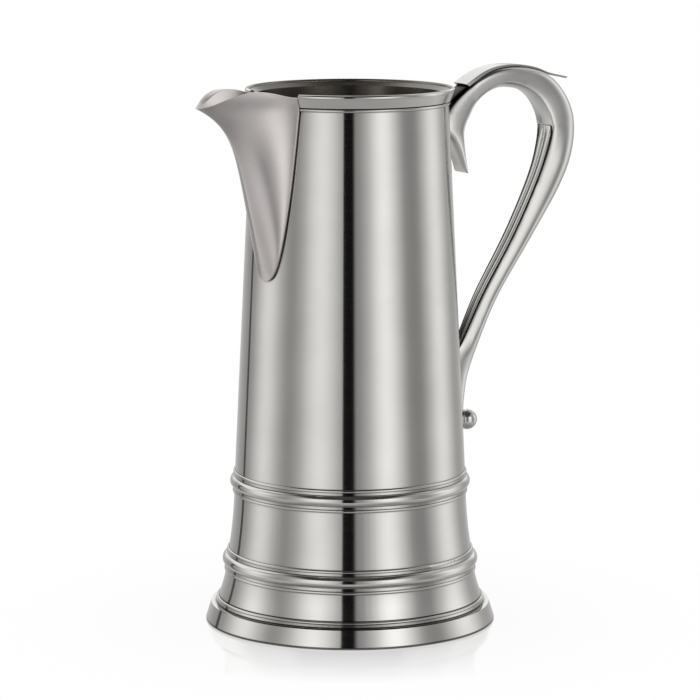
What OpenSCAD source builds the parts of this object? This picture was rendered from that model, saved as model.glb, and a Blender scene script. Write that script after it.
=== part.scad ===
// Pewter flagon: a tall tapering jug with two moulded bands, a spread foot, a soldered
// beak spout and a cast scroll handle with a reeded inner strap and a ball terminal.
// Millimetres, standing on z = 0, spout towards -X, handle towards +X.

/* [Body] */
// Height of the lip above the table
rim_height = 250; // [230:1:280]
// Outside radius of the upper drum under the lip
drum_top_r = 45.7; // [42:0.1:50]
// Outside radius of both drums where they meet
waist_r = 54.3; // [51:0.1:58]
// Height of the joint between the two drums
waist_height = 65.4; // [58:0.1:75]
// Outside radius of the lower drum where it meets the foot
lower_drum_base_r = 57.9; // [56.5:0.1:60]
// Depth of the hollow curve down the side of the lower drum
lower_drum_hollow = 0.8; // [0.3:0.1:1.4]
// Height of the joint between the lower drum and the foot
foot_joint_height = 28.3; // [25:0.1:32]
// Thickness of the drum and foot walls
wall = 1.8; // [1.4:0.1:2.6]
// Length of the sleeve that enters the piece above at each joint
sleeve_length = 4; // [3:0.5:6]
// Thickness of those sleeves
sleeve_wall = 1.4; // [1:0.1:2]

/* [Lip] */
// Outside radius of the lip
rim_r = 48.7; // [47.5:0.1:51]
// Height of the lip band
rim_band_height = 6; // [4.5:0.1:8]
// Thickness of the lip at its top edge
lip_thickness = 2.2; // [1.6:0.1:3]
// Thickness of the band at its lower edge
rim_band_foot = 1; // [0.7:0.1:1.6]
// Depth of the rebate that takes the top of the drum
rim_rebate = 3; // [2:0.1:4]
// Radius of the half-round bead under the lip
rim_bead_r = 0.75; // [0.5:0.05:1]
// Width of the groove between lip and bead
rim_groove = 0.35; // [0.2:0.05:0.6]

/* [Mouldings] */
// Radius of the roll on the upper moulding
upper_roll_r = 2.85; // [2.4:0.05:3.2]
// How far the upper roll stands out from the drum
upper_roll_proud = 2.1; // [1.6:0.1:2.6]
// Radius of the roll on the lower moulding
lower_roll_r = 3; // [2.5:0.05:3.4]
// How far the lower roll stands out from the drum
lower_roll_proud = 2.2; // [1.7:0.1:2.7]
// Radius of the fine beads above and below each roll
fine_bead_r = 0.8; // [0.6:0.05:1]
// Groove between a roll and its fine beads
moulding_groove = 0.9; // [0.5:0.05:1.2]
// Thickness of the band that carries roll and beads
moulding_back = 0.35; // [0.25:0.05:0.6]

/* [Foot] */
// Outside radius of the foot where it meets the table
foot_r = 68; // [65:0.1:72]
// Step of the foot ring's top edge beyond the skirt
foot_ring_step = 2.3; // [1:0.1:3.5]
// Height of the foot ring
foot_ring_height = 7.8; // [6:0.1:9]
// Width of the flat the flagon stands on
foot_land = 5; // [4:0.1:7]
// Outside radius of the skirt where it meets the foot ring
skirt_base_r = 63.2; // [62:0.1:64.2]
// Depth of the hollow curve down the side of the skirt
skirt_hollow = 0.95; // [0.4:0.05:1.3]
// Radius of the bead along the hem of the skirt
hem_bead_r = 0.65; // [0.5:0.05:0.8]
// Height of the groove between hem bead and foot ring
hem_groove = 1.7; // [1:0.05:2.2]
// Height of the underside of the vessel floor
floor_height = 23.6; // [21:0.1:24.5]
// Thickness of the floor disc
floor_thickness = 2.2; // [1.6:0.1:3]
// Width of the ledge that carries the floor disc
floor_ledge = 4; // [2.5:0.1:6]

/* [Spout] */
// Reach of the beak beyond the drum from its steady swell
spout_swell = 24.9; // [20:0.1:28]
// Extra reach of the beak where it turns out at the top
spout_flare = 18.2; // [14:0.1:22]
// How far the tip lies under the lip
spout_tip_drop = 5; // [3:0.1:8]
// How far the side edges lie under the lip where they meet it
spout_join_drop = 1.7; // [1:0.1:3]
// Rise of the side edges between lip and tip
spout_crest = 5.1; // [4:0.1:7]
// Length of the spout down the drum, from tip to lower end
spout_length = 81; // [70:1:95]
// Half of the angle that the spout takes up on the drum
spout_half_angle = 21; // [18:0.5:24]
// Thickness of the spout wall
spout_wall = 1.7; // [1.5:0.1:2.2]
// Thickness of the edge that is soldered to the drum
spout_edge = 1.2; // [0.8:0.1:1.5]

/* [Handle] */
// Reach of the handle beyond the drum
handle_reach = 76.4; // [66:0.2:86]
// Height of the handle from its arch to the end of its tail
handle_length = 164; // [145:1:180]
// Rise of the arch above the lip
handle_rise = 6.3; // [4:0.2:12]
// Greatest width of the handle
handle_width = 15; // [12:0.1:18]
// Angle of the handle off the line through the spout
handle_turn = 10; // [0:1:20]
// Greatest bulge of the inner face under the arch
handle_crown = 2.8; // [1:0.1:4]
// Depth of the channel that takes the reeded strap
channel_depth = 1.4; // [0.8:0.1:1.8]
// Height of the reeds on the strap
reed_height = 2.2; // [1.9:0.1:2.8]
// Open slit on either side of the strap
strap_slit = 1.1; // [0.4:0.1:1.4]
// Thickness of the leaf along the top of the arch
leaf_thickness = 1.2; // [0.8:0.1:1.6]
// Lift of the leaf's point off the handle
leaf_lift = 5.6; // [3:0.2:8]
// Diameter of the ball at the end of the tail
ball_d = 9.7; // [8:0.1:11]
// Radius of the neck that carries the ball
ball_neck_r = 1.2; // [0.9:0.1:1.5]

/* [Hidden] */
$fn = 96;
// Solder clearance at every seat
fit_gap = 0.05;
// Overrun of cuts
overrun = 1;
// Facets of the long shallow curves
curve_facets = 720;

// Upper drum, a plain cone
rim_underside = rim_height - rim_band_height;
drum_end = rim_underside + rim_rebate;
drum_slope = (waist_r - drum_top_r) / (rim_underside - waist_height);
function drum_r(z) = waist_r - (z - waist_height) * drum_slope;

// Radius and centre of a hollow curve through two points on a wall
function curve_chord(a, b) = norm(b - a);
function curve_radius(a, b, hollow) = curve_chord(a, b) * curve_chord(a, b) / (8 * hollow) + hollow / 2;
function curve_centre(a, b, hollow) =
    (a + b) / 2 + (curve_radius(a, b, hollow) - hollow) * [a[1] - b[1], b[0] - a[0]] / curve_chord(a, b);
function curve_r(a, b, hollow, z) =
    let (c = curve_centre(a, b, hollow), q = curve_radius(a, b, hollow))
    c[0] - sqrt(q * q - (z - c[1]) * (z - c[1]));

lower_top = [waist_r, waist_height];
lower_base = [lower_drum_base_r, foot_joint_height];
function lower_r(z) = curve_r(lower_top, lower_base, lower_drum_hollow, z);

skirt_top = [lower_drum_base_r, foot_joint_height];
skirt_base = [skirt_base_r, foot_ring_height];
function skirt_r(z) = curve_r(skirt_top, skirt_base, skirt_hollow, z);

// Mouldings
upper_fine_offset = upper_roll_r + moulding_groove + fine_bead_r;
lower_fine_offset = lower_roll_r + moulding_groove + fine_bead_r;

// Foot
skirt_sleeve_r = lower_r(foot_joint_height + sleeve_length) - wall - fit_gap;
floor_bore_r = skirt_sleeve_r - sleeve_wall;
hem_bead_height = foot_ring_height + hem_groove + hem_bead_r;
foot_sleeve_r = skirt_r(foot_ring_height + sleeve_length) - wall - fit_gap;
foot_inner_r = foot_r - foot_land;
foot_ring_top_r = skirt_base_r + foot_ring_step;

// Spout
spout_tip_height = rim_height - spout_tip_drop;
spout_foot_height = spout_tip_height - spout_length;
spout_flare_power = 8.8;
spout_spread_power = 0.37;
spout_start_share = 0.0004;
spout_full_power = 1.6;
spout_beak_power = 1.2;
spout_lip_power = 2.2;
spout_flange_share = 0.16;
spout_mouth_share = 0.78;
spout_mouth_start_share = 0.16;
spout_columns = 16;
spout_rows = 28;
spout_row_power = 1.3;
rim_face_rise = rim_height - lip_thickness / 2 - rim_underside;

// Handle: outer rail (out, down), inner rail (out, down), width, squareness and bulge at each
// station, as shares of reach, length, width and bulge, from the hook over the arch to the tail
handle_station_shares = [
    [0.155, 0.290, 0.180, 0.300, 0.77, 2.8, 0.00],
    [0.090, 0.210, 0.160, 0.210, 0.80, 3.2, 0.00],
    [0.000, 0.170, 0.165, 0.170, 0.82, 3.2, 0.00],
    [0.000, 0.130, 0.200, 0.135, 0.87, 3.6, 0.10],
    [0.130, 0.070, 0.255, 0.095, 0.92, 4.5, 0.35],
    [0.335, 0.015, 0.365, 0.060, 0.95, 4.8, 0.70],
    [0.535, 0.000, 0.485, 0.045, 0.95, 4.8, 1.00],
    [0.745, 0.015, 0.635, 0.065, 0.93, 4.5, 0.45],
    [0.885, 0.055, 0.740, 0.105, 0.93, 3.6, 0.30],
    [0.985, 0.135, 0.800, 0.170, 1.00, 3.0, 0.30],
    [0.990, 0.235, 0.780, 0.240, 1.00, 2.3, 0.00],
    [0.895, 0.345, 0.700, 0.335, 0.91, 2.2, 0.00],
    [0.650, 0.505, 0.515, 0.490, 0.83, 2.2, 0.00],
    [0.390, 0.670, 0.280, 0.655, 0.73, 2.2, 0.00],
    [0.240, 0.805, 0.120, 0.790, 0.61, 2.2, 0.00],
    [0.160, 0.895, 0.000, 0.870, 0.50, 2.2, 0.00],
    [0.130, 0.960, 0.030, 0.950, 0.39, 2.2, 0.00],
    [0.120, 0.990, 0.090, 1.000, 0.32, 2.0, 0.00]];
handle_flat_share = 0.92;
handle_bevel_share = 0.08;
handle_face_shares = [-1, -0.9, -0.88, -0.5, 0, 0.5, 0.88, 0.9, 1];
handle_steps = 4;
handle_sides = 18;
handle_top = rim_height + handle_rise;
handle_last = len(handle_station_shares) - 1;

// Reeded strap in its channel, from the shoulder to the landing of the tail, as shares of the handle
strap_start_share = 0.535;
strap_end_share = 0.845;
channel_end_share = 0.0008;
strap_inset_share = 0.001;
strap_blend_share = 0.14;
channel_wall_share = 0.89;
strap_rings = 44;
reed_shares = [0.4, 0.2, 0.4];
reed_sides = 5;
reed_floor_share = 0.5;

// Leaf along the arch, as shares of the handle
leaf_start_share = 0.257;
leaf_taper_share = 0.27;
leaf_rise_share = 0.425;
leaf_end_share = 0.478;
leaf_rings = 36;
leaf_width_share = 0.82;
leaf_point_share = 0.15;
leaf_taper_power = 0.85;
leaf_columns = 6;

// Names of the pieces

// A wall of even thickness along a hollow curve, between two heights
module curve_wall(a, b, hollow) {
    c = curve_centre(a, b, hollow);
    q = curve_radius(a, b, hollow);
    reach = max(a[0], b[0]) + overrun;
    difference() {
        intersection() {
            translate(c) circle(r = q + wall, $fn = curve_facets);
            translate([0, b[1]]) square([reach, a[1] - b[1]]);
        }
        translate(c) circle(r = q, $fn = curve_facets);
    }
}

// Everything behind a wall line, given from low to high, grown by the solder clearance
module behind(line) {
    top = len(line) - 1;
    polygon(concat([[0, line[0][1]]], [for (p = line) p + [fit_gap, 0]], [[0, line[top][1]]]));
}

// Mouth that the spout opens into, as seen from the front
function mouth_half(u) = drum_r(spout_foot_height + u * spout_length) *
    sin(spout_inner_angle(u) * spout_mouth_share);
module spout_mouth() {
    low = spout_mouth_start_share;
    high = 1 + rim_height / spout_length * spout_flange_share;
    steps = spout_columns;
    side = [for (i = [0 : steps]) let (u = low + (high - low) * i / steps)
        [mouth_half(u) * sqrt(i / steps) * sqrt(2 - i / steps), spout_foot_height + u * spout_length]];
    other = [for (i = [steps : -1 : 1]) [-side[i][0], side[i][1]]];
    rotate([90, 0, -90]) linear_extrude(height = foot_r) polygon(concat(side, other));
}

// Gap in the lip where the spout passes
module rim_gap() {
    far = rim_r + foot_r;
    half = spout_half_angle + asin(fit_gap / rim_r);
    translate([0, 0, waist_height]) linear_extrude(height = rim_height)
        polygon([[0, 0], [-far * cos(half), far * sin(half)], [-far * cos(half), -far * sin(half)]]);
}

module upper_drum() {
    color("silver") difference() {
        rotate_extrude() polygon([[waist_r - wall, waist_height], [waist_r, waist_height],
            [drum_r(drum_end), drum_end], [drum_r(drum_end) - wall, drum_end]]);
        spout_mouth();
    }
}

module lower_drum() {
    sleeve_top = waist_height + sleeve_length;
    bore = drum_r(sleeve_top) - wall - fit_gap - sleeve_wall;
    color("lightgray") rotate_extrude() {
        curve_wall(lower_top, lower_base, lower_drum_hollow);
        polygon([[bore, waist_height - sleeve_length], [waist_r - wall / 2, waist_height - sleeve_length],
            [waist_r - wall / 2, waist_height], [waist_r - wall - fit_gap, waist_height],
            [drum_r(sleeve_top) - wall - fit_gap, sleeve_top], [bore, sleeve_top]]);
    }
}

module foot_skirt() {
    sleeve_top = foot_joint_height + sleeve_length;
    ledge_base = floor_height - wall;
    hem_r = skirt_r(hem_bead_height);
    color("silver") rotate_extrude() {
        curve_wall(skirt_top, skirt_base, skirt_hollow);
        translate([floor_bore_r, ledge_base])
            square([skirt_sleeve_r - floor_bore_r, sleeve_top - ledge_base]);
        translate([floor_bore_r, ledge_base])
            square([skirt_r(floor_height) - wall / 2 - floor_bore_r, foot_joint_height - ledge_base]);
        translate([floor_bore_r - floor_ledge, ledge_base]) square([floor_ledge + sleeve_wall, wall]);
        intersection() {
            translate([hem_r, hem_bead_height]) circle(r = hem_bead_r);
            translate([hem_r - wall / 2, foot_ring_height])
                square([wall + hem_bead_r, wall + hem_bead_height]);
        }
    }
}

module foot_ring() {
    ring_top = foot_ring_height - fit_gap;
    sleeve_top = foot_ring_height + sleeve_length;
    bore = foot_sleeve_r - sleeve_wall;
    color("lightgray") rotate_extrude()
        polygon([[foot_inner_r, 0], [foot_r, 0], [foot_ring_top_r, ring_top], [foot_sleeve_r, ring_top],
            [foot_sleeve_r, sleeve_top], [bore, sleeve_top], [bore, ring_top / 2]]);
}

module floor_disc() {
    color("gray") translate([0, 0, floor_height + fit_gap])
        cylinder(r = floor_bore_r - fit_gap, h = floor_thickness);
}

module rim_band() {
    lip_round = lip_thickness / 2;
    shoulder = rim_height - lip_round;
    color("lightgray") difference() {
        rotate_extrude() {
            polygon([[drum_r(rim_underside) + fit_gap, rim_underside],
                [drum_r(rim_underside) + rim_band_foot, rim_underside],
                [rim_r, shoulder], [rim_r - lip_thickness, shoulder],
                [drum_r(drum_end) - wall, drum_end + fit_gap],
                [drum_r(drum_end) + fit_gap, drum_end + fit_gap]]);
            translate([rim_r - lip_round, shoulder]) circle(r = lip_round);
        }
        rim_gap();
    }
}

module rim_bead() {
    bead_height = rim_underside - rim_groove - rim_bead_r;
    low = bead_height - rim_band_height;
    color("silver") difference() {
        rotate_extrude() difference() {
            translate([drum_r(bead_height) + fit_gap, bead_height]) circle(r = rim_bead_r);
            behind([[drum_r(low), low], [drum_r(rim_underside), rim_underside]]);
        }
        rim_gap();
    }
}

// A roll between two fine beads on a thin band. The wall line runs from below the joint to above it
module moulding(line, roll_r, roll_proud, fine_offset) {
    joint = line[1];
    below = joint + (line[0] - joint) * fine_offset / (joint[1] - line[0][1]);
    above = joint + (line[2] - joint) * fine_offset / (line[2][1] - joint[1]);
    back = [moulding_back, 0];
    inward = [wall, 0];
    difference() {
        union() {
            translate(joint + [roll_proud - roll_r, 0]) circle(r = roll_r);
            translate(above) circle(r = fine_bead_r);
            translate(below) circle(r = fine_bead_r);
            polygon([below - inward, below + back, joint + back, above + back, above - inward]);
        }
        behind(line);
    }
}

module upper_moulding() {
    reach = upper_fine_offset + 2 * fine_bead_r;
    low = waist_height - reach;
    high = waist_height + reach;
    color("gainsboro") rotate_extrude()
        moulding([[lower_r(low), low], lower_top, [drum_r(high), high]],
            upper_roll_r, upper_roll_proud, upper_fine_offset);
}

module lower_moulding() {
    reach = lower_fine_offset + 2 * fine_bead_r;
    low = foot_joint_height - reach;
    high = foot_joint_height + reach;
    color("gainsboro") rotate_extrude()
        moulding([[skirt_r(low), low], skirt_top, [lower_r(high), high]],
            lower_roll_r, lower_roll_proud, lower_fine_offset);
}

// Spout loft. u runs up the drum from the lower end to the height of the tip, s up each line from
// the lower end to the lip, w across from edge to edge
function spout_angle(u) = spout_half_angle * pow(min(u, 1), spout_spread_power);
function spout_inner_angle(u) = spout_angle(u) * (1 - spout_flange_share);
// Full cheeks on either side of a rounded keel, between a V and a half ellipse
function spout_side(w) = sign(w) * pow(abs(sin(90 * w)), 2 / spout_full_power);
function spout_bell(w, power) = pow(max(1 - pow(abs(spout_side(w)), power), 0), 1 / power);
function spout_lip_height(w) = let (b = pow(abs(spout_side(w)), spout_lip_power))
    spout_tip_height + (spout_tip_drop - spout_join_drop) * b + spout_crest * sin(180 * b);
function rim_face_r(z) = drum_r(rim_underside) + rim_band_foot +
    (rim_r - drum_r(rim_underside) - rim_band_foot) * min((z - rim_underside) / rim_face_rise, 1);
function spout_edge_r(z) = max(drum_r(z) + fit_gap + spout_edge, z > rim_underside ? rim_face_r(z) : 0);
function polar(r, angle, z) = [-r * cos(angle), r * sin(angle), z];

function spout_height(s, w) = spout_foot_height + s * (spout_lip_height(w) - spout_foot_height);
function spout_share(z) = (z - spout_foot_height) / spout_length;
function spout_section(s, w, r, angle, swell) =
    [-r * cos(angle) - (r - r * cos(angle) + swell) * spout_bell(w, spout_full_power) -
        spout_flare * pow(s, spout_flare_power) * spout_bell(w, spout_beak_power),
        r * sin(angle) * spout_side(w), spout_height(s, w)];
function spout_outer(s, w) = let (z = spout_height(s, w), u = spout_share(z))
    spout_section(s, w, spout_edge_r(z), spout_angle(u), spout_swell * u);
function spout_inner(s, w) = let (z = spout_height(s, w), u = spout_share(z))
    spout_section(s, w, drum_r(z) + fit_gap, spout_inner_angle(u),
        max(spout_swell * u + spout_edge - spout_wall, 0));
function spout_seat(s, w) = let (z = spout_height(s, w), u = spout_share(z))
    polar(drum_r(z) + fit_gap, spout_angle(u) * w, z);

function spout_ring(s) = concat(
    [spout_seat(s, 1)],
    [for (j = [0 : 2 * spout_columns]) spout_outer(s, 1 - j / spout_columns)],
    [spout_seat(s, -1)],
    [for (j = [0 : 2 * spout_columns]) spout_inner(s, j / spout_columns - 1)]);

// Triangles between closed rings of equal count
function skin_faces(rings, count) = [for (i = [0 : rings - 2], j = [0 : count - 1])
    let (a = i * count + j, b = i * count + (j + 1) % count, c = a + count, d = b + count)
    each [[a, c, b], [b, c, d]]];
// Closing strip over a ring that runs out along one face and back along the other
function strip_cap(first, count, flip) = [for (k = [0 : count / 2 - 2])
    let (a = first + k, b = first + k + 1, c = first + count - 1 - k, d = first + count - 2 - k)
    each (flip ? [[a, b, c], [b, d, c]] : [[a, c, b], [b, c, d]])];
// Closing fan over a ring that bulges everywhere
function fan_cap(first, count, flip) = [for (k = [1 : count - 2])
    flip ? [first, first + k + 1, first + k] : [first, first + k, first + k + 1]];

module spout() {
    rows = [for (i = [0 : spout_rows])
        spout_start_share + (1 - spout_start_share) *
        (1 - cos(180 * pow(i / spout_rows, spout_row_power))) / 2];
    rings = [for (s = rows) spout_ring(s)];
    count = len(rings[0]);
    top = spout_rows * count;
    color("whitesmoke") polyhedron(points = [for (ring = rings) each ring],
        faces = concat(skin_faces(spout_rows + 1, count),
            strip_cap(0, count, true), strip_cap(top, count, false)));
}

// Handle loft between an outer and an inner rail
function spline(a, b, c, d, t) = (2 * b + (c - a) * t + (2 * a - 5 * b + 4 * c - d) * t * t +
    (3 * b - a - 3 * c + d) * t * t * t) / 2;
function station(k) = handle_station_shares[max(0, min(handle_last, k))];
function handle_row(s) = let (i = min(floor(s), handle_last - 1))
    spline(station(i - 1), station(i), station(i + 1), station(i + 2), s - i);
function rail_point(out_share, down_share) = let (z = handle_top - down_share * handle_length)
    [drum_r(z) + max(out_share * handle_reach, fit_gap), z];
function outer_rail(s) = let (row = handle_row(s)) rail_point(row[0], row[1]);
function inner_rail(s) = let (row = handle_row(s)) rail_point(row[2], row[3]);
function bar_width(s) = handle_row(s)[4] * handle_width;
function bar_square(s) = handle_row(s)[5];
function bar_depth(s) = norm(outer_rail(s) - inner_rail(s));
function bar_out(s) = (outer_rail(s) - inner_rail(s)) / bar_depth(s);
function bar_point(s, across, out) = let (p = inner_rail(s) + out * bar_out(s)) [p[0], across, p[1]];
// Height of the rounded back over the flat face at a share of the half width
function back_share(s, share) = pow(1 - pow(min(abs(share), 1), bar_square(s)), 1 / bar_square(s));

// Inner face: bulged under the arch, a channel with two lips where the strap lies
function in_channel(s) = s > strap_start_share * handle_last && s < strap_end_share * handle_last;
function crown_out(s, x) = -handle_row(s)[6] * handle_crown * (1 - x * x);
function face_out(s, x) = !in_channel(s) ? crown_out(s, x) : abs(x) < channel_wall_share ? channel_depth : 0;
function bar_ring(s) = let (half = bar_width(s) / 2, depth = bar_depth(s), p = bar_square(s)) concat(
    [for (k = [0 : handle_sides]) let (a = 180 * k / handle_sides,
        side = (cos(a) < 0 ? -1 : 1) * pow(abs(cos(a)), 2 / p), back = pow(abs(sin(a)), 2 / p))
        bar_point(s, half * side, depth * (handle_bevel_share + (1 - handle_bevel_share) * back))],
    [for (x = handle_face_shares) bar_point(s, half * handle_flat_share * x, face_out(s, x))]);

// Two rings close together make the square end of the channel
channel_ends = [for (e = [strap_start_share, strap_end_share], d = [-1, 1])
    (e + d * channel_end_share) * handle_last];
function near_channel_end(s) = min([for (e = channel_ends) abs(e - s)]) < 1 / handle_steps / 2;
function between(a, b) = [for (i = [0 : handle_last * handle_steps]) let (s = i / handle_steps)
    if (s >= a && s <= b && !near_channel_end(s)) s];
handle_stops = concat(between(0, channel_ends[0]), [channel_ends[0], channel_ends[1]],
    between(channel_ends[1], channel_ends[2]), [channel_ends[2], channel_ends[3]],
    between(channel_ends[3], handle_last));

module handle_scroll() {
    rings = [for (s = handle_stops) bar_ring(s)];
    count = len(rings[0]);
    top = (len(handle_stops) - 1) * count;
    color("gainsboro") rotate([0, 0, -handle_turn]) polyhedron(points = [for (ring = rings) each ring],
        faces = concat(skin_faces(len(handle_stops), count),
            fan_cap(0, count, false), fan_cap(top, count, true)));
}

// Reeds side by side across the strap, half-round, over a thin web
function reed_start(k) = k == 0 ? 0 : reed_start(k - 1) + reed_shares[k - 1];
function reed_rise(share) = reed_floor_share + (1 - reed_floor_share) * share;
reed_last = len(reed_shares) - 1;
strap_profile = [for (k = [0 : reed_last], j = [0 : reed_sides])
    let (a = 180 * j / reed_sides, mid = reed_start(k) + reed_shares[k] / 2)
    if (j < reed_sides || k == reed_last)
        [2 * (mid - reed_shares[k] / 2 * cos(a)) - 1, reed_rise(sin(a))]];
strap_seat = channel_depth - fit_gap;
function strap_half(s) = bar_width(s) / 2 * handle_flat_share * channel_wall_share - strap_slit;
// The strap starts level with the face of the arch and its reeds grow out of that
function strap_blend(s) =
    let (t = (s / handle_last - strap_start_share) / (strap_end_share - strap_start_share),
        b = min(t / strap_blend_share, 1))
    b * b * (3 - 2 * b);
function strap_top(s, k) = let (b = strap_blend(s), half = bar_width(s) / 2 * handle_flat_share)
    crown_out(s, strap_profile[k][0] * strap_half(s) / half) * (1 - b) +
    (strap_seat - reed_height * strap_profile[k][1]) * b;
function strap_ring(s) = let (half = strap_half(s), last = len(strap_profile) - 1) concat(
    [for (k = [last : -1 : 0]) bar_point(s, half * strap_profile[k][0], strap_seat)],
    [for (k = [0 : last]) bar_point(s, half * strap_profile[k][0], strap_top(s, k))]);

module handle_strap() {
    first = (strap_start_share + strap_inset_share) * handle_last;
    end = (strap_end_share - strap_inset_share) * handle_last;
    rings = [for (i = [0 : strap_rings]) strap_ring(first + (end - first) * i / strap_rings)];
    count = len(rings[0]);
    top = strap_rings * count;
    color("silver") rotate([0, 0, -handle_turn]) polyhedron(points = [for (ring = rings) each ring],
        faces = concat(skin_faces(strap_rings + 1, count),
            strip_cap(0, count, true), strip_cap(top, count, false)));
}

// Leaf over the back of the arch, tapering to a lifted point
function leaf_share(s, from) = (s / handle_last - from) / (leaf_end_share - from);
function leaf_taper(s) = s < leaf_taper_share * handle_last ? 1 :
    pow(max(1 - leaf_share(s, leaf_taper_share), 0), leaf_taper_power);
function leaf_half(s) = bar_width(s) / 2 * leaf_width_share * max(leaf_point_share, leaf_taper(s));
function leaf_float(s) = s < leaf_rise_share * handle_last ? 0 :
    leaf_lift * pow(leaf_share(s, leaf_rise_share), 2);
function leaf_bed(s, across) = bar_depth(s) * (handle_bevel_share + (1 - handle_bevel_share) *
    back_share(s, 2 * across / bar_width(s))) + fit_gap + leaf_float(s);
function leaf_across(s, j) = leaf_half(s) * (2 * j / leaf_columns - 1);
function leaf_ring(s) = concat(
    [for (j = [0 : leaf_columns]) let (x = leaf_across(s, j)) bar_point(s, x, leaf_bed(s, x))],
    [for (j = [leaf_columns : -1 : 0]) let (x = leaf_across(s, j))
        bar_point(s, x, (leaf_bed(s, x) + leaf_bed(s, 0)) / 2 + leaf_thickness)]);

module handle_leaf() {
    first = leaf_start_share * handle_last;
    end = leaf_end_share * handle_last;
    rings = [for (i = [0 : leaf_rings]) leaf_ring(first + (end - first) * i / leaf_rings)];
    count = len(rings[0]);
    top = leaf_rings * count;
    color("white") rotate([0, 0, -handle_turn]) polyhedron(points = [for (ring = rings) each ring],
        faces = concat(skin_faces(leaf_rings + 1, count),
            strip_cap(0, count, true), strip_cap(top, count, false)));
}

module ball_terminal() {
    end_out = outer_rail(handle_last);
    end_in = inner_rail(handle_last);
    end_mid = (end_out + end_in) / 2;
    away = [end_out[1] - end_in[1], end_in[0] - end_out[0]] / norm(end_out - end_in);
    neck = ball_d / 2 + ball_neck_r;
    lean = atan2(away[0], away[1]);
    color("white") rotate([0, 0, -handle_turn]) translate([end_mid[0], 0, end_mid[1]]) rotate([0, lean, 0]) {
        translate([0, 0, neck]) sphere(d = ball_d);
        translate([0, 0, fit_gap]) cylinder(r = ball_neck_r, h = neck);
    }
}

upper_drum();
lower_drum();
foot_skirt();
foot_ring();
floor_disc();
rim_band();
rim_bead();
upper_moulding();
lower_moulding();
spout();
handle_scroll();
handle_strap();
handle_leaf();
ball_terminal();
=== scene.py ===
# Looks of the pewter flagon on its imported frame: metres, spout towards -X, handle towards +X.
import bpy
import bmesh
import math
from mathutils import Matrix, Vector
from mathutils.bvhtree import BVHTree


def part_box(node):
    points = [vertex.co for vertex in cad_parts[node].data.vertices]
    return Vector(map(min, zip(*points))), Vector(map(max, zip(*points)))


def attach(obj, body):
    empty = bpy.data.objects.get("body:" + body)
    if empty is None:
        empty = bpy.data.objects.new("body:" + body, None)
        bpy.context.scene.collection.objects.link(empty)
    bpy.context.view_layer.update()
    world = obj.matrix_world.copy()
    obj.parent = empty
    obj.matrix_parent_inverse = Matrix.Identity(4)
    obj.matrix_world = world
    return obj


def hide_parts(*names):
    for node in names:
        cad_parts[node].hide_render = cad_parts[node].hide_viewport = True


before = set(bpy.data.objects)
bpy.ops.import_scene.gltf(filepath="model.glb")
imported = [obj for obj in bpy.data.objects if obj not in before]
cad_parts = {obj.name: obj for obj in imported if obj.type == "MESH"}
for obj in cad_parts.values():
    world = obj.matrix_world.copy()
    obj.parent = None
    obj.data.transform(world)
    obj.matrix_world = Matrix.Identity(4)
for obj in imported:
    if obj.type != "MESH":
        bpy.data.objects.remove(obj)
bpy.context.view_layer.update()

MM = 0.001

# Photograph
IMAGE_WIDTH = 700
FOCAL_PIXELS = 3583
SENSOR = 36
CAMERA_AZIMUTH = math.radians(-40)
CAMERA_PITCH = math.radians(9)
CAMERA_DISTANCE = 1656 * MM
CAMERA_HEIGHT = 389.1 * MM

# Body
RIM_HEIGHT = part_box("rim_band")[1].z
LIP_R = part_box("rim_band")[1].x
LIP_THICKNESS = 2.2 * MM
LIP_HEIGHT = 6 * MM
LIP_FOOT_R = 45.8 * MM
WAIST_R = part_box("upper_drum")[1].x
WAIST_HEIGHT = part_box("upper_drum")[0].z
DRUM_LIP_R = 45.4 * MM
WALL = 1.8 * MM

# Handle: its bar, leaf and strap
HANDLE_TURN = math.radians(-10)
BAR_TOP = 232 * MM
BAR_FULL_TOP = 208 * MM
BAR_FULL_END = 130 * MM
BAR_END = 112 * MM
ARCH_SPRING = 185 * MM
GRIP_OUT = 45 * MM
ARCH_OUT = 75 * MM
HOOK_OUT = 66 * MM
HOOK_HIGH = 231 * MM
CHANNEL_DEPTH = 2 * MM
BAR_TAPER = 0.17
BAR_SWELL = 0.16
BAR_DEEPER = 0.6 * MM
BAR_FLATTER = 0.1 * MM
BAR_FULLEST = 0.7
RAY_START = 0.5 * MM
LEAF_WIDER = 0.06
STRAP_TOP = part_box("handle_strap")[1].z
STRAP_END = 1.2 * MM

# Smooth skins: angles in degrees
MERGE_DISTANCE = 0.0005 * MM
JOIN_ANGLE = 40
CREASE_FROM = 35
SHARP_FROM = 60
CREASE = 0.8
SKIN_LEVELS = 2
END_SHIFT = 0.2

# Tarnish and painted shade. Facings run from 1, away from the body along the handle, to -1, towards it
TARNISH_AND_SHADE_TONE = "#1A1816"
OCCLUSION_SAMPLES = 8
CAST_DARKEST = 0.3
CAST_CLEAN_AND_UNSHADED = 0.85
# Painted shade: the hem's two grooves are painted black
GROOVE_PAINTED_SHADE = "#2E2B28"
GROOVE_SOFT = 0.1 * MM
HEM_SHADED_GROOVES = [(7.9 * MM, 8.5 * MM), (10.85 * MM, 11.3 * MM)]
# Painted shade: the edge that stands on the table is painted dark, as its contact shadow
STANDING_EDGE_SHADE = "#4A4744"
STANDING_HEIGHTS = (0.1 * MM, 0.5 * MM)
# Painted shade: black on the handle behind the lip and on the channel's lips
HANDLE_PAINTED_SHADE = "#24211F"
BLACK_SOFT = 3 * MM
HOOK_SOFT = 5 * MM
HOOK_FACING = (-0.1, -0.35)
CHANNEL_FACING = (-0.5, -0.7)

# Patterns, in repeats to the metre. Lathe lines 0.36 mm apart are coarser than real ones, so they show
LATHE_LINES = (6, 6, 2800)
TURNED_CLOUD = 45
CAST_CLOUD = 60
CAST_SCRATCHES = 1600

# Noise is cut off at these two values
NOISE_LOW = 0.3
NOISE_HIGH = 0.7

# Bumps
BUMP_DEPTH = 0.05 * MM
TURNED_BUMP = 0.04
CAST_BUMP = 0.03

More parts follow.
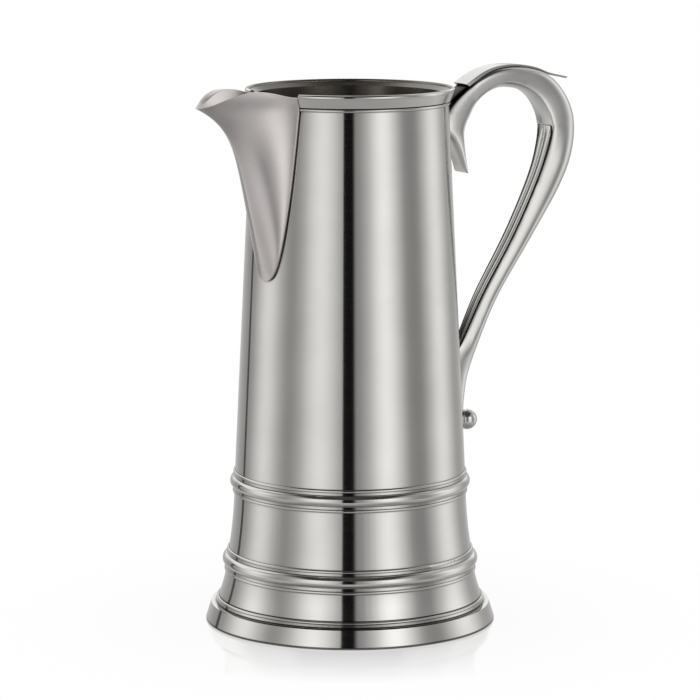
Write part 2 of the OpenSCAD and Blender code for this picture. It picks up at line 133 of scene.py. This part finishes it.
# Turned finish
TURNED_DARK = "#DFDDD9"
TURNED_PALE = "#E6E4E0"
TURNED_SMOOTH = 0.08
TURNED_COARSE = 0.12
# The inside is dull; its darker tone is partly painted shade inside the vessel
INSIDE_SHADED_TONE = "#9C968E"
LIP_INSIDE_SHADED_TONE = "#88837C"
INSIDE_ROUGHNESS = 0.27
LATHE_STRETCH = 0.8
LATHE_TURN = 0.25

# Node kinds
MATHS = "ShaderNodeMath"
VECTOR = "ShaderNodeVectorMath"
RANGE = "ShaderNodeMapRange"
MIX = "ShaderNodeMix"

# Floor
FLOOR_RADIUS = 600 * MM
FLOOR_DROP = 0.8 * MM
FLOOR_SIDES = 96
FLOOR_GLOSS = 0.38
FLOOR_ROUGHNESS = 0.07
FLOOR_SHADOW = 0.14
# Painted shadow: the floor's white glow is dimmed to this under the foot
FLOOR_UNDER_FOOT_SHADE = 0.05
FOOT_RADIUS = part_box("foot_ring")[1].x
GLOSS_REACH = (FOOT_RADIUS * 0.9, FOOT_RADIUS * 1.9)
UNDER_FOOT_SHADE_REACH = (FOOT_RADIUS - 0.8 * MM, FOOT_RADIUS + 0.2 * MM)
SHADOW_REACH = (FOOT_RADIUS, FOOT_RADIUS * 3)


# Colours


def linear(hex_colour):
    """sRGB hex value to linear RGBA."""
    def channel(value):
        value /= 255
        return value / 12.92 if value <= 0.04045 else ((value + 0.055) / 1.055) ** 2.4
    parts = [int(hex_colour[i:i + 2], 16) for i in (1, 3, 5)]
    return tuple(channel(p) for p in parts) + (1.0,)


def grey(value):
    return (value, value, value, 1.0)


# Nodes


def add(tree, kind, links=None, **settings):
    """Adds a node. Settings are its properties. Links gives its inputs, by name or number, a value
    or the output of another node."""
    node = tree.nodes.new(kind)
    for name, value in settings.items():
        setattr(node, name, value)
    for socket, value in (links or {}).items():
        target = node.inputs[socket]
        if isinstance(value, bpy.types.NodeSocket):
            tree.links.new(value, target)
        else:
            target.default_value = value
    return node


def material(name):
    made = bpy.data.materials.new(name)
    made.use_nodes = True
    tree = made.node_tree
    tree.nodes.clear()
    shader = add(tree, "ShaderNodeBsdfPrincipled")
    add(tree, "ShaderNodeOutputMaterial", {"Surface": shader.outputs["BSDF"]})
    return made, tree, shader


# Finishes


def tarnish_and_painted_shade(tree, tone, reach, darkest, clean_and_unshaded):
    """Grooves, seams and inner corners go nearly black by how enclosed they are: partly the oxide
    pewter keeps where a cloth can't reach, partly painted shade.
    """
    open_sky = add(tree, "ShaderNodeAmbientOcclusion", {"Distance": reach}, samples=OCCLUSION_SAMPLES)
    polished = add(tree, RANGE, {"Value": open_sky.outputs["AO"], "From Min": darkest,
                                 "From Max": clean_and_unshaded}, interpolation_type="SMOOTHSTEP")
    return add(tree, MIX, {0: polished.outputs["Result"], 6: linear(TARNISH_AND_SHADE_TONE), 7: tone},
               data_type="RGBA").outputs[2]


def turned_pewter(name, reach, darkest, clean_and_unshaded, inside_low=0.0, inside_high=0.0, painted_shade_grooves=(),
                  inside_shaded_tone=INSIDE_SHADED_TONE):
    """Pewter turned and polished on a lathe: a soft mirror whose polishing lines run round the
    body, so that reflections stay crisp sideways and spread up and down. What lies nearer to the
    axis than the two radii, at the waist and at the lip, is the inside, which is left dull, its darker
    tone partly painted shade. Hollows darken, partly as tarnish, partly as painted shade. Painted
    shade: black grooves run between pairs of heights, and the edge that stands on the table is dark."""
    made, tree, shader = material(name)
    place = add(tree, "ShaderNodeTexCoord").outputs["Object"]
    around = add(tree, VECTOR, {0: (0, 0, 1), 1: place}, operation="CROSS_PRODUCT")
    stretch = add(tree, "ShaderNodeMapping", {"Vector": place, "Scale": LATHE_LINES})
    lines = add(tree, "ShaderNodeTexNoise", {"Vector": stretch.outputs["Vector"], "Scale": 1.0,
                                             "Detail": 2.0, "Roughness": 0.5})
    cloud = add(tree, "ShaderNodeTexNoise", {"Vector": place, "Scale": TURNED_CLOUD, "Detail": 3.0})
    flat = add(tree, VECTOR, {0: place, 1: (1, 1, 0)}, operation="MULTIPLY")
    radius = add(tree, VECTOR, {0: flat.outputs["Vector"]}, operation="LENGTH")
    height = add(tree, "ShaderNodeSeparateXYZ", {0: place}).outputs["Z"]
    wall_line = add(tree, RANGE, {"Value": height, "From Min": WAIST_HEIGHT, "From Max": RIM_HEIGHT,
                                  "To Min": inside_low, "To Max": inside_high})
    inside = add(tree, MATHS, {0: radius.outputs["Value"], 1: wall_line.outputs["Result"]},
                 operation="LESS_THAN").outputs[0]
    mottle = add(tree, RANGE, {"Value": cloud.outputs["Fac"], "From Min": NOISE_LOW,
                               "From Max": NOISE_HIGH})
    tone = add(tree, MIX, {0: mottle.outputs["Result"], 6: linear(TURNED_DARK), 7: linear(TURNED_PALE)},
               data_type="RGBA").outputs[2]
    # The inside's darker tone is partly painted shade inside the vessel
    tone = add(tree, MIX, {0: inside, 6: tone, 7: linear(inside_shaded_tone)}, data_type="RGBA").outputs[2]
    tone = tarnish_and_painted_shade(tree, tone, reach, darkest, clean_and_unshaded)
    for low, high in painted_shade_grooves:
        half = (high - low) / 2
        off = add(tree, MATHS, {0: height, 1: low + half}, operation="SUBTRACT").outputs[0]
        off = add(tree, MATHS, {0: off}, operation="ABSOLUTE").outputs[0]
        outside_groove = add(tree, RANGE, {"Value": off, "From Min": half - GROOVE_SOFT,
                                  "From Max": half + GROOVE_SOFT})
        tone = add(tree, MIX, {0: outside_groove.outputs["Result"], 6: linear(GROOVE_PAINTED_SHADE), 7: tone},
                   data_type="RGBA").outputs[2]
    # Painted shade: the edge that stands on the table is darkened, as its contact shadow
    standing = add(tree, RANGE, {"Value": height, "From Min": STANDING_HEIGHTS[0],
                                 "From Max": STANDING_HEIGHTS[1]}, interpolation_type="SMOOTHSTEP")
    tone = add(tree, MIX, {0: standing.outputs["Result"], 6: linear(STANDING_EDGE_SHADE), 7: tone},
               data_type="RGBA").outputs[2]
    rough = add(tree, RANGE, {"Value": lines.outputs["Fac"], "From Min": NOISE_LOW, "From Max": NOISE_HIGH,
                              "To Min": TURNED_SMOOTH, "To Max": TURNED_COARSE})
    rough = add(tree, MIX, {0: inside, 2: rough.outputs["Result"], 3: INSIDE_ROUGHNESS})
    bump = add(tree, "ShaderNodeBump", {"Height": lines.outputs["Fac"], "Strength": TURNED_BUMP,
                                        "Distance": BUMP_DEPTH})
    tree.links.new(tone, shader.inputs["Base Color"])
    tree.links.new(rough.outputs[0], shader.inputs["Roughness"])
    tree.links.new(bump.outputs["Normal"], shader.inputs["Normal"])
    tree.links.new(around.outputs["Vector"], shader.inputs["Tangent"])
    shader.inputs["Metallic"].default_value = 1.0
    shader.inputs["Anisotropic"].default_value = LATHE_STRETCH
    shader.inputs["Anisotropic Rotation"].default_value = LATHE_TURN
    return made


def painted_shade_on_handle(tree, place, tone):
    """Painted shade: the handle is painted black on the face behind the lip, which looks towards the
    body, and on the two lips of the channel, beside the strap."""
    outward = (math.cos(HANDLE_TURN), math.sin(HANDLE_TURN), 0)
    normal = add(tree, "ShaderNodeTexCoord").outputs["Normal"]
    facing = add(tree, VECTOR, {0: normal, 1: outward}, operation="DOT_PRODUCT").outputs["Value"]
    out = add(tree, VECTOR, {0: place, 1: outward}, operation="DOT_PRODUCT").outputs["Value"]
    height = add(tree, "ShaderNodeSeparateXYZ", {0: place}).outputs["Z"]
    inward = add(tree, RANGE, {"Value": facing, "From Min": HOOK_FACING[0],
                               "From Max": HOOK_FACING[1]}).outputs["Result"]
    hook = add(tree, RANGE, {"Value": out, "From Min": HOOK_OUT,
                             "From Max": HOOK_OUT - BLACK_SOFT}).outputs["Result"]
    high = add(tree, RANGE, {"Value": height, "From Min": HOOK_HIGH,
                             "From Max": HOOK_HIGH + HOOK_SOFT}).outputs["Result"]
    behind_lip = add(tree, MATHS, {0: inward, 1: hook}, operation="MULTIPLY").outputs[0]
    behind_lip = add(tree, MATHS, {0: behind_lip, 1: high}, operation="MULTIPLY").outputs[0]
    channel = add(tree, RANGE, {"Value": facing, "From Min": CHANNEL_FACING[0],
                                "From Max": CHANNEL_FACING[1]}).outputs["Result"]
    strap = add(tree, RANGE, {"Value": height, "From Min": STRAP_TOP,
                              "From Max": STRAP_TOP - BLACK_SOFT}).outputs["Result"]
    below = add(tree, RANGE, {"Value": height, "From Min": ARCH_SPRING + BLACK_SOFT,
                              "From Max": ARCH_SPRING}).outputs["Result"]
    off_hook = add(tree, MATHS, {0: 1.0, 1: hook}, operation="SUBTRACT").outputs[0]
    bar = add(tree, MATHS, {0: below, 1: off_hook}, operation="MAXIMUM").outputs[0]
    channel = add(tree, MATHS, {0: channel, 1: strap}, operation="MULTIPLY").outputs[0]
    channel = add(tree, MATHS, {0: channel, 1: bar}, operation="MULTIPLY").outputs[0]
    black = add(tree, MATHS, {0: behind_lip, 1: channel}, operation="MAXIMUM").outputs[0]
    return add(tree, MIX, {0: black, 6: tone, 7: linear(HANDLE_PAINTED_SHADE)}, data_type="RGBA").outputs[2]


def cast_pewter(name, dark, pale, smooth, coarse, reach, with_painted_shade=False):
    """Cast pewter finished by hand: between satin and bright, with faint scratches all ways. Painted shade
    can be laid black on the bar of the handle, behind the lip and on the channel's lips."""
    made, tree, shader = material(name)
    place = add(tree, "ShaderNodeTexCoord").outputs["Object"]
    cloud = add(tree, "ShaderNodeTexNoise", {"Vector": place, "Scale": CAST_CLOUD, "Detail": 4.0})
    fine = add(tree, "ShaderNodeTexNoise", {"Vector": place, "Scale": CAST_SCRATCHES, "Detail": 3.0})
    mottle = add(tree, RANGE, {"Value": cloud.outputs["Fac"], "From Min": NOISE_LOW,
                               "From Max": NOISE_HIGH})
    tone = add(tree, MIX, {0: mottle.outputs["Result"], 6: linear(dark), 7: linear(pale)},
               data_type="RGBA").outputs[2]
    tone = tarnish_and_painted_shade(tree, tone, reach, CAST_DARKEST, CAST_CLEAN_AND_UNSHADED)
    if with_painted_shade:
        tone = painted_shade_on_handle(tree, place, tone)
    rough = add(tree, RANGE, {"Value": cloud.outputs["Fac"], "From Min": NOISE_LOW, "From Max": NOISE_HIGH,
                              "To Min": smooth, "To Max": coarse})
    bump = add(tree, "ShaderNodeBump", {"Height": fine.outputs["Fac"], "Strength": CAST_BUMP,
                                        "Distance": BUMP_DEPTH})
    tree.links.new(tone, shader.inputs["Base Color"])
    tree.links.new(rough.outputs["Result"], shader.inputs["Roughness"])
    tree.links.new(bump.outputs["Normal"], shader.inputs["Normal"])
    shader.inputs["Metallic"].default_value = 1.0
    return made


# Cast pieces: the solids' facets made into smooth skins


def eased(value, start, end):
    """0 before start, 1 past end and a smooth rise between them."""
    share = min(max((value - start) / (end - start), 0.0), 1.0)
    return share * share * (3 - 2 * share)


def oval_bar():
    """The bar below the arch is egg-shaped across: it narrows towards the strap and is fullest
    near the back. Returns the function that gives a skin this shape."""
    outward = Vector((math.cos(HANDLE_TURN), math.sin(HANDLE_TURN), 0))
    sideways = Vector((math.sin(HANDLE_TURN), -math.cos(HANDLE_TURN), 0))
    solid = bmesh.new()
    solid.from_mesh(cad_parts["handle_scroll"].data)
    surface = BVHTree.FromBMesh(solid)
    solid.free()

    def shape(bm):
        for vert in bm.verts:
            height = vert.co.z
            share = eased(height, BAR_TOP, BAR_FULL_TOP) * eased(height, BAR_END, BAR_FULL_END)
            clear = ARCH_OUT if height > ARCH_SPRING else GRIP_OUT
            if share == 0 or vert.co.dot(outward) < clear:
                continue
            start = outward * clear + sideways * RAY_START + Vector((0, 0, height))
            front = surface.ray_cast(start, outward)[0]
            back = surface.ray_cast(front + outward * RAY_START, outward)[0]
            inner = front.dot(outward) - CHANNEL_DEPTH
            depth = (vert.co.dot(outward) - inner) / (back.dot(outward) - inner)
            full = eased(depth, 0.0, BAR_FULLEST)
            width = 1 + share * (BAR_SWELL * full - BAR_TAPER * (1 - full))
            vert.co += sideways * vert.co.dot(sideways) * (width - 1)
            vert.co -= outward * share * (BAR_DEEPER * (1 - full) + BAR_FLATTER * full)

    return shape


def wider_leaf(bm):
    """The leaf lies across nearly the whole top of the arch."""
    sideways = Vector((math.sin(HANDLE_TURN), -math.cos(HANDLE_TURN), 0))
    for vert in bm.verts:
        vert.co += sideways * vert.co.dot(sideways) * LEAF_WIDER


def smooth_skin(node, finish, shape=None, end_reach=0.0):
    """A rounded copy of a solid in its place. Its sharp edges stay, and the end within end_reach of
    its top is moved up to close the gap that the rounding leaves."""
    bm = bmesh.new()
    bm.from_mesh(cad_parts[node].data)
    bmesh.ops.remove_doubles(bm, verts=bm.verts, dist=MERGE_DISTANCE)
    if shape:
        shape(bm)
    top = max(vert.co.z for vert in bm.verts)
    end = [vert for vert in bm.verts if vert.co.z > top - end_reach]
    bmesh.ops.translate(bm, verts=end, vec=(0, 0, end_reach * END_SHIFT))
    bmesh.ops.join_triangles(bm, faces=bm.faces, cmp_seam=False, cmp_sharp=False, cmp_uvs=False,
                             cmp_vcols=False, cmp_materials=False,
                             angle_face_threshold=math.radians(JOIN_ANGLE),
                             angle_shape_threshold=math.radians(180))
    bmesh.ops.recalc_face_normals(bm, faces=bm.faces)
    layer = bm.edges.layers.float.new("crease_edge")
    for edge in bm.edges:
        turn = math.degrees(edge.calc_face_angle(0))
        if turn > CREASE_FROM:
            edge[layer] = 1.0 if turn > SHARP_FROM else CREASE
    mesh = bpy.data.meshes.new(node + "_skin")
    bm.to_mesh(mesh)
    bm.free()
    mesh.shade_smooth()
    piece = bpy.data.objects.new(node + "_skin", mesh)
    bpy.context.scene.collection.objects.link(piece)
    rounded = piece.modifiers.new("rounded", "SUBSURF")
    rounded.levels = SKIN_LEVELS
    rounded.render_levels = SKIN_LEVELS
    mesh.materials.append(finish)
    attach(piece, "root")
    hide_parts(node)


def dress(node, finish):
    """Gives a solid that is already smooth its finish."""
    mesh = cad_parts[node].data
    mesh.materials.clear()
    mesh.materials.append(finish)


# Camera and stage


def make_camera():
    data = bpy.data.cameras.new("camera")
    data.sensor_width = SENSOR
    data.lens = FOCAL_PIXELS / IMAGE_WIDTH * SENSOR
    data.clip_start = 0.05
    data.clip_end = 50
    camera = bpy.data.objects.new("camera", data)
    bpy.context.scene.collection.objects.link(camera)
    towards = Vector((math.sin(CAMERA_AZIMUTH), -math.cos(CAMERA_AZIMUTH), 0))
    camera.location = towards * CAMERA_DISTANCE + Vector((0, 0, CAMERA_HEIGHT))
    forward = -towards * math.cos(CAMERA_PITCH) - Vector((0, 0, math.sin(CAMERA_PITCH)))
    camera.rotation_mode = "QUATERNION"
    camera.rotation_quaternion = forward.to_track_quat("-Z", "Y")
    bpy.context.scene.camera = camera


def make_floor():
    """White glossy table top that fades into the white background."""
    bm = bmesh.new()
    bmesh.ops.create_circle(bm, cap_ends=True, segments=FLOOR_SIDES, radius=FLOOR_RADIUS)
    bmesh.ops.translate(bm, verts=bm.verts, vec=(0, 0, -FLOOR_DROP))
    mesh = bpy.data.meshes.new("floor")
    bm.to_mesh(mesh)
    bm.free()
    floor = bpy.data.objects.new("floor", mesh)
    bpy.context.scene.collection.objects.link(floor)
    made = bpy.data.materials.new("white_table_top")
    made.use_nodes = True
    tree = made.node_tree
    tree.nodes.clear()
    place = add(tree, "ShaderNodeTexCoord").outputs["Object"]
    reach = add(tree, VECTOR, {0: place}, operation="LENGTH").outputs["Value"]
    gloss = add(tree, RANGE, {"Value": reach, "From Min": GLOSS_REACH[0], "From Max": GLOSS_REACH[1],
                              "To Min": FLOOR_GLOSS, "To Max": 0.0})
    # Painted shadow: under the foot the floor's white glow is dimmed to dark
    under_foot_shade = add(tree, RANGE, {"Value": reach, "From Min": UNDER_FOOT_SHADE_REACH[0],
                                "From Max": UNDER_FOOT_SHADE_REACH[1], "To Min": FLOOR_UNDER_FOOT_SHADE,
                                "To Max": 1.0})
    shadow = add(tree, RANGE, {"Value": reach, "From Min": SHADOW_REACH[0], "From Max": SHADOW_REACH[1],
                               "To Min": FLOOR_SHADOW, "To Max": 0.0})
    white = add(tree, "ShaderNodeEmission", {"Color": grey(1.0), "Strength": under_foot_shade.outputs["Result"]})
    shaded = add(tree, "ShaderNodeBsdfDiffuse", {"Color": grey(1.0)})
    base = add(tree, "ShaderNodeMixShader", {0: shadow.outputs["Result"], 1: white.outputs[0],
                                             2: shaded.outputs[0]})
    mirror = add(tree, "ShaderNodeBsdfGlossy", {"Color": grey(1.0), "Roughness": FLOOR_ROUGHNESS})
    top = add(tree, "ShaderNodeMixShader", {0: gloss.outputs["Result"], 1: base.outputs[0],
                                            2: mirror.outputs[0]})
    add(tree, "ShaderNodeOutputMaterial", {"Surface": top.outputs[0]})
    mesh.materials.append(made)
    floor.visible_glossy = False
    floor.visible_diffuse = False


# Studio. Turns are degrees to the right of the camera, heights are the sine of the elevation
# Soft boxes: turn of the middle, half width, brightness
SOFT_BOXES = [(-31, 22, 0.70), (38, 19, 0.83), (-97, 21, 0.62), (108, 21, 0.68), (180, 40, 0.38),
              (-180, 40, 0.38)]
BOX_STEP = 12
BOX_GAIN = 1.25
GAIN_HEIGHTS = (0.0, 0.3)
STUDIO_DIM = 0.2
# Dark gaps: turn of the middle, half width, softness of the left and right edge, darkness
DARK_GAPS = [(-2.2, 4.6, 1.0, 5.0, 0.02), (-132, 1.2, 2.0, 2.0, 0.2)]
CEILING_DARK = 0.05
CEILING_PALE = 0.36
CEILING_SIDES = (0.48, 0.65)
LEFT_WALL = 0.97
RIGHT_WALL = 0.6
WALL_ENDS = (-60, 60)
WALL_TOP = (0.75, 0.95)
BACKDROP = 1.0
TABLE_PALE = 0.54
TABLE_DARK = 0.28
TABLE_HEIGHTS = (-0.4, -1.0)
# Turns away from the camera, and heights, between which each takes over
CEILING_FROM = (0.42, 0.65)
BACKDROP_AWAY = (145, 165)
BACKDROP_FROM = (0.06, 0.2)
WALL_AWAY = (100, 125)
WALL_FROM = (0.25, 0.4)
TABLE_FROM = (-0.3, -0.5)


def make_studio():
    """What the body reflects: soft boxes all round with dark gaps, a ceiling that is dark in front
    and paler at the sides, a white backdrop and a wall behind the flagon, and a pale table. The
    camera itself sees plain white."""
    world = bpy.data.worlds.new("studio")
    bpy.context.scene.world = world
    world.use_nodes = True
    tree = world.node_tree
    tree.nodes.clear()
    ray = add(tree, "ShaderNodeTexCoord").outputs["Generated"]
    ahead = (math.sin(CAMERA_AZIMUTH), -math.cos(CAMERA_AZIMUTH), 0)
    right = (math.cos(CAMERA_AZIMUTH), math.sin(CAMERA_AZIMUTH), 0)
    along = add(tree, VECTOR, {0: ray, 1: ahead}, operation="DOT_PRODUCT").outputs["Value"]
    across = add(tree, VECTOR, {0: ray, 1: right}, operation="DOT_PRODUCT").outputs["Value"]
    radians = add(tree, MATHS, {0: across, 1: along}, operation="ARCTAN2").outputs[0]
    turn = add(tree, MATHS, {0: radians, 1: math.degrees(1)}, operation="MULTIPLY").outputs[0]
    away = add(tree, MATHS, {0: turn}, operation="ABSOLUTE").outputs[0]
    side = add(tree, MATHS, {0: across}, operation="ABSOLUTE").outputs[0]
    height = add(tree, "ShaderNodeSeparateXYZ", {0: ray}).outputs["Z"]
    # Soft boxes, brighter higher up
    circle = add(tree, RANGE, {"Value": turn, "From Min": -180, "From Max": 180})
    boxes = add(tree, "ShaderNodeValToRGB", {"Fac": circle.outputs["Result"]})
    boxes.color_ramp.interpolation = "CARDINAL"
    stops = boxes.color_ramp.elements
    turns = range(-180, 181, BOX_STEP)
    while len(stops) < len(turns):
        stops.new(1.0)
    for stop, angle in zip(stops, turns):
        stop.position = (angle + 180) / 360
        stop.color = grey(sum(b * math.exp(-((angle - m) / half) ** 2) for m, half, b in SOFT_BOXES))
    gain = add(tree, RANGE, {"Value": height, "From Min": GAIN_HEIGHTS[0],
                             "From Max": GAIN_HEIGHTS[1], "To Min": 1.0, "To Max": BOX_GAIN},
               interpolation_type="SMOOTHSTEP")
    light = add(tree, MATHS, {0: boxes.outputs["Color"], 1: gain.outputs["Result"], 2: STUDIO_DIM},
                operation="MULTIPLY_ADD").outputs[0]
    for middle, half, left_soft, right_soft, darkest in DARK_GAPS:
        left = add(tree, RANGE, {"Value": turn, "From Min": middle - half - left_soft,
                                 "From Max": middle - half, "To Min": 1.0, "To Max": 0.0},
                   interpolation_type="SMOOTHSTEP").outputs["Result"]
        right_edge = add(tree, RANGE, {"Value": turn, "From Min": middle + half,
                                       "From Max": middle + half + right_soft},
                         interpolation_type="SMOOTHSTEP").outputs["Result"]
        lit = add(tree, MATHS, {0: left, 1: right_edge}, operation="MAXIMUM").outputs[0]
        lit = add(tree, MATHS, {0: lit, 1: darkest}, operation="MAXIMUM").outputs[0]
        light = add(tree, MATHS, {0: light, 1: lit}, operation="MULTIPLY").outputs[0]
    ceiling = add(tree, RANGE, {"Value": side, "From Min": CEILING_SIDES[0],
                                "From Max": CEILING_SIDES[1], "To Min": CEILING_DARK,
                                "To Max": CEILING_PALE}, interpolation_type="SMOOTHSTEP").outputs["Result"]
    wall = add(tree, RANGE, {"Value": turn, "From Min": WALL_ENDS[0],
                             "From Max": WALL_ENDS[1], "To Min": LEFT_WALL,
                             "To Max": RIGHT_WALL}, interpolation_type="SMOOTHSTEP").outputs["Result"]
    wall_top = add(tree, RANGE, {"Value": height, "From Min": WALL_TOP[0], "From Max": WALL_TOP[1]},
                   interpolation_type="SMOOTHSTEP").outputs["Result"]
    wall = add(tree, MIX, {0: wall_top, 2: wall, 3: ceiling}).outputs[0]
    table = add(tree, RANGE, {"Value": height, "From Min": TABLE_HEIGHTS[0],
                              "From Max": TABLE_HEIGHTS[1], "To Min": TABLE_PALE,
                              "To Max": TABLE_DARK}, interpolation_type="SMOOTHSTEP").outputs["Result"]
    # Each takes over from those before it
    zones = [(ceiling, [(height, CEILING_FROM)]),
             (BACKDROP, [(away, BACKDROP_AWAY), (height, BACKDROP_FROM)]),
             (wall, [(away, WALL_AWAY), (height, WALL_FROM)]),
             (table, [(height, TABLE_FROM)])]
    for level, edges in zones:
        share = 1.0
        for value, (start, end) in edges:
            edge = add(tree, RANGE, {"Value": value, "From Min": start, "From Max": end},
                       interpolation_type="SMOOTHSTEP").outputs["Result"]
            share = add(tree, MATHS, {0: share, 1: edge}, operation="MULTIPLY").outputs[0]
        light = add(tree, MIX, {0: share, 2: light, 3: level}).outputs[0]
    seen = add(tree, "ShaderNodeLightPath").outputs
    plain = add(tree, MATHS, {0: seen["Is Camera Ray"], 1: seen["Is Diffuse Ray"]},
                operation="MAXIMUM").outputs[0]
    light = add(tree, MIX, {0: plain, 2: light, 3: 1.0}).outputs[0]
    background = add(tree, "ShaderNodeBackground", {"Color": grey(1.0), "Strength": light})
    add(tree, "ShaderNodeOutputWorld", {"Surface": background.outputs[0]})


make_camera()
make_floor()
make_studio()

# Each finish darkens its hollows, partly as tarnish, partly as painted shade
turned = turned_pewter("turned_polished_pewter", reach=2.5 * MM, darkest=0.5, clean_and_unshaded=0.92)
skirt = turned_pewter("turned_pewter_shaded_hem", reach=2.5 * MM, darkest=0.5, clean_and_unshaded=0.92,
                      painted_shade_grooves=HEM_SHADED_GROOVES)
drum = turned_pewter("turned_pewter_dull_shaded_inside", reach=3 * MM, darkest=0.4, clean_and_unshaded=0.9,
                     inside_low=WAIST_R - WALL / 2, inside_high=DRUM_LIP_R - WALL / 2)
lip_crest = LIP_R - LIP_THICKNESS / 2
lip_slope = (lip_crest - LIP_FOOT_R) / LIP_HEIGHT
lip = turned_pewter("turned_pewter_lip", reach=1.5 * MM, darkest=0.1, clean_and_unshaded=0.6,
                    inside_low=lip_crest - lip_slope * (RIM_HEIGHT - WAIST_HEIGHT),
                    inside_high=lip_crest, inside_shaded_tone=LIP_INSIDE_SHADED_TONE)
satin = cast_pewter("hand_finished_satin_pewter", dark="#E2DCDA", pale="#EAE4E2", smooth=0.24,
                    coarse=0.32, reach=3 * MM)
polished = cast_pewter("hand_polished_pewter", dark="#E0DFDC", pale="#E8E7E4", smooth=0.16,
                       coarse=0.22, reach=2.5 * MM, with_painted_shade=True)
# Painted shade: the long reach darkens the strap where it nears the drum
reeded = cast_pewter("reeded_bright_pewter", dark="#DEDCD9", pale="#E6E4E1", smooth=0.07,
                     coarse=0.11, reach=22 * MM)
bright = cast_pewter("buffed_bright_pewter", dark="#DEDCD9", pale="#E6E4E1", smooth=0.10,
                     coarse=0.16, reach=3 * MM)

for node in ("lower_drum", "foot_ring", "upper_moulding", "lower_moulding", "floor_disc"):
    dress(node, turned)
dress("foot_skirt", skirt)
dress("upper_drum", drum)
dress("rim_band", lip)
dress("rim_bead", lip)
dress("ball_terminal", bright)

smooth_skin("spout", satin)
bar_shape = oval_bar()
smooth_skin("handle_scroll", polished, shape=bar_shape)
smooth_skin("handle_strap", reeded, shape=bar_shape, end_reach=STRAP_END)
smooth_skin("handle_leaf", bright, shape=wider_leaf)

bpy.context.scene.view_settings.view_transform = "Standard"
